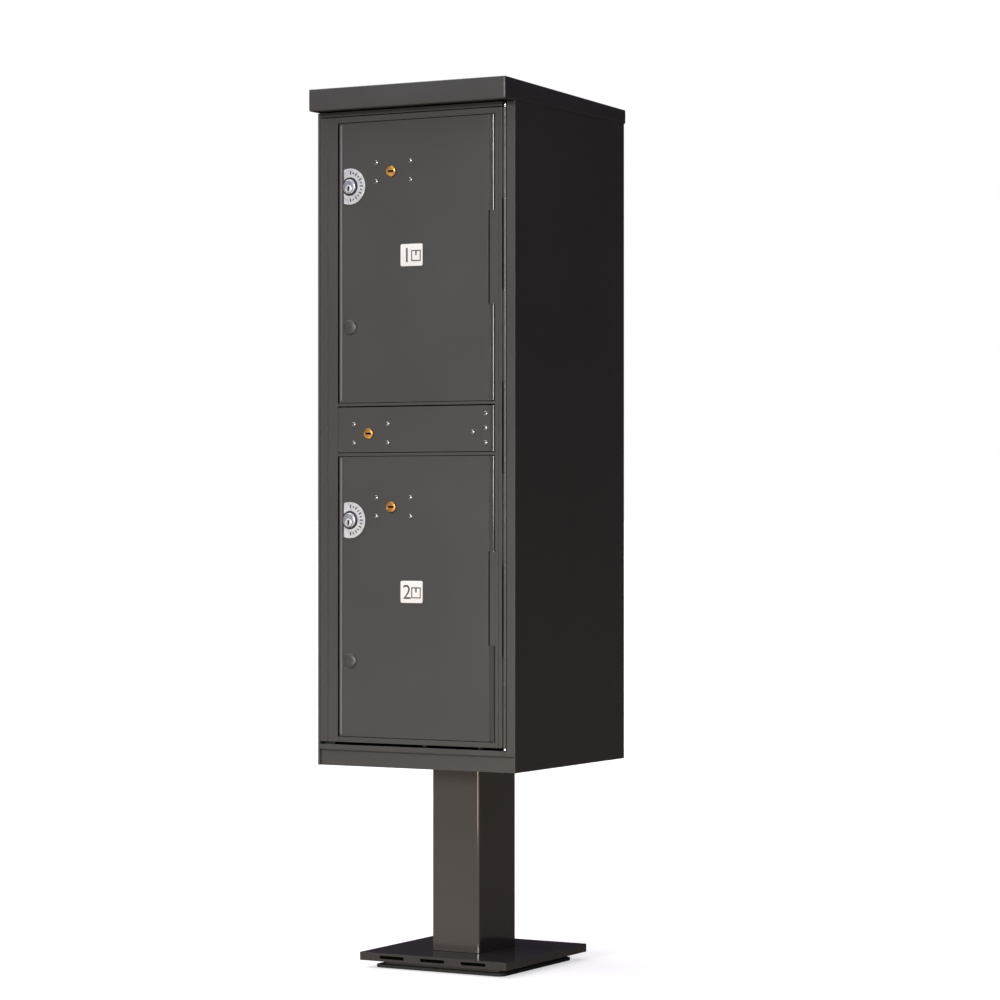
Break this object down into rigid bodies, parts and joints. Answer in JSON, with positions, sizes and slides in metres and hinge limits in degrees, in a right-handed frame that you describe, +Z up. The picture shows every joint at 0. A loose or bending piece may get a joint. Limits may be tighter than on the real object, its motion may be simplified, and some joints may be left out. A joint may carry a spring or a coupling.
{
  "type": "pedestal parcel locker",
  "caption": "Tall outdoor parcel cabinet with stacked hinged doors, a riveted lock panel between them and a sloped roof, on a rectangular post and square base plate.",
  "frame": {"origin": "on the ground, under the middle of the base pad", "axes": "+Z up; the doors face -Y; +X is to the viewer's right when facing the doors"},
  "size_m": [0.404, 0.4567, 1.5748],
  "materials": {
    "powder_coat": "dark bronze powder coat on aluminium sheet, satin",
    "gloss_coat": "dark bronze coat on aluminium extrusion, glossy",
    "brass": "turned brass",
    "bright_steel": "bright, finely brushed",
    "zinc_steel": "zinc plated",
    "rubber": "matte black",
    "white_plastic": "smooth white label plate"
  },
  "bodies": {
    "cabinet": {"base_pad": "rubber", "foot_plate": "powder_coat", "base_plate": "gloss_coat", "post": "gloss_coat", "post_top_flange": "gloss_coat", "floor_panel": "powder_coat", "front_skirt": "powder_coat", "side_panel_left": "powder_coat", "side_panel_right": "powder_coat", "back_panel": "powder_coat", "top_panel": "powder_coat", "roof_hood": "powder_coat", "header_rail": "powder_coat", "sill_rail": "powder_coat", "strike_jamb": "powder_coat", "upper_shelf": "powder_coat", "lower_shelf": "powder_coat", "master_hinge_leaf": "powder_coat", "master_hinge_pin": "bright_steel"},
    "master_door": {"master_stile_left": "powder_coat", "master_stile_right": "powder_coat", "master_rail_top": "powder_coat", "master_rail_upper": "powder_coat", "master_rail_lower": "powder_coat", "master_rail_bottom": "powder_coat", "lock_strip": "powder_coat", "strip_bracket": "zinc_steel", "master_lock_rivet_plate": "zinc_steel", "master_lock_case": "zinc_steel", "door_gasket": "rubber", "upper_hinge_block": "powder_coat", "lower_hinge_block": "powder_coat", "upper_hinge_pin": "bright_steel", "lower_hinge_pin": "bright_steel"},
    "master_key_plug": {"master_lock_core": "brass"},
    "master_bolt": {"master_lock_bolt": "bright_steel"},
    "upper_door": {"upper_door_panel": "powder_coat", "upper_key_indicator": "bright_steel", "upper_lock_body": "bright_steel", "upper_lock_nut": "zinc_steel", "upper_carrier_lock_rivet_plate": "zinc_steel", "upper_carrier_lock_case": "zinc_steel", "upper_number_plate": "white_plastic", "upper_hole_cap": "powder_coat"},
    "upper_customer_plug": {"upper_lock_core": "bright_steel", "upper_lock_cam": "zinc_steel"},
    "upper_carrier_plug": {"upper_carrier_lock_core": "brass"},
    "upper_carrier_bolt": {"upper_carrier_lock_bolt": "bright_steel"},
    "lower_door": {"lower_door_panel": "powder_coat", "lower_key_indicator": "bright_steel", "lower_lock_body": "bright_steel", "lower_lock_nut": "zinc_steel", "lower_carrier_lock_rivet_plate": "zinc_steel", "lower_carrier_lock_case": "zinc_steel", "lower_number_plate": "white_plastic", "lower_hole_cap": "powder_coat"},
    "lower_customer_plug": {"lower_lock_core": "bright_steel", "lower_lock_cam": "zinc_steel"},
    "lower_carrier_plug": {"lower_carrier_lock_core": "brass"},
    "lower_carrier_bolt": {"lower_carrier_lock_bolt": "bright_steel"}
  },
  "joints": [
    {"name": "master_door_hinge", "type": "hinge", "parent": "cabinet", "child": "master_door", "pos_m": [0.1804, -0.2076, 0.9679], "axis": [0, 0, 1], "range_deg": [0, 105]},
    {"name": "upper_door_hinge", "type": "hinge", "parent": "master_door", "child": "upper_door", "pos_m": [0.1568, -0.2076, 1.2648], "axis": [0, 0, 1], "range_deg": [0, 105]},
    {"name": "lower_door_hinge", "type": "hinge", "parent": "master_door", "child": "lower_door", "pos_m": [0.1568, -0.2076, 0.6699], "axis": [0, 0, 1], "range_deg": [0, 105]},
    {"name": "master_lock_turn", "type": "hinge", "parent": "master_door", "child": "master_key_plug", "pos_m": [-0.096, -0.211, 0.9602], "axis": [0, -1, 0], "range_deg": [0, 90]},
    {"name": "master_bolt_slide", "type": "slide", "parent": "master_door", "child": "master_bolt", "axis": [-1, 0, 0], "range_m": [0, 0.014]},
    {"name": "upper_customer_lock_turn", "type": "hinge", "parent": "upper_door", "child": "upper_customer_plug", "pos_m": [-0.1346, -0.211, 1.3969], "axis": [0, 1, 0], "range_deg": [0, 90]},
    {"name": "upper_carrier_lock_turn", "type": "hinge", "parent": "upper_door", "child": "upper_carrier_plug", "pos_m": [-0.0491, -0.211, 1.4247], "axis": [0, -1, 0], "range_deg": [0, 90]},
    {"name": "upper_carrier_bolt_slide", "type": "slide", "parent": "upper_door", "child": "upper_carrier_bolt", "axis": [-1, 0, 0], "range_m": [0, 0.014]},
    {"name": "lower_customer_lock_turn", "type": "hinge", "parent": "lower_door", "child": "lower_customer_plug", "pos_m": [-0.1346, -0.211, 0.802], "axis": [0, 1, 0], "range_deg": [0, 90]},
    {"name": "lower_carrier_lock_turn", "type": "hinge", "parent": "lower_door", "child": "lower_carrier_plug", "pos_m": [-0.0491, -0.211, 0.8298], "axis": [0, -1, 0], "range_deg": [0, 90]},
    {"name": "lower_carrier_bolt_slide", "type": "slide", "parent": "lower_door", "child": "lower_carrier_bolt", "axis": [-1, 0, 0], "range_m": [0, 0.014]}
  ],
  "couplings": [
    {"joint": "master_bolt_slide", "follows": "master_lock_turn", "m_per_rad": 0.0089},
    {"joint": "upper_carrier_bolt_slide", "follows": "upper_carrier_lock_turn", "m_per_rad": 0.0089},
    {"joint": "lower_carrier_bolt_slide", "follows": "lower_carrier_lock_turn", "m_per_rad": 0.0089}
  ]
}
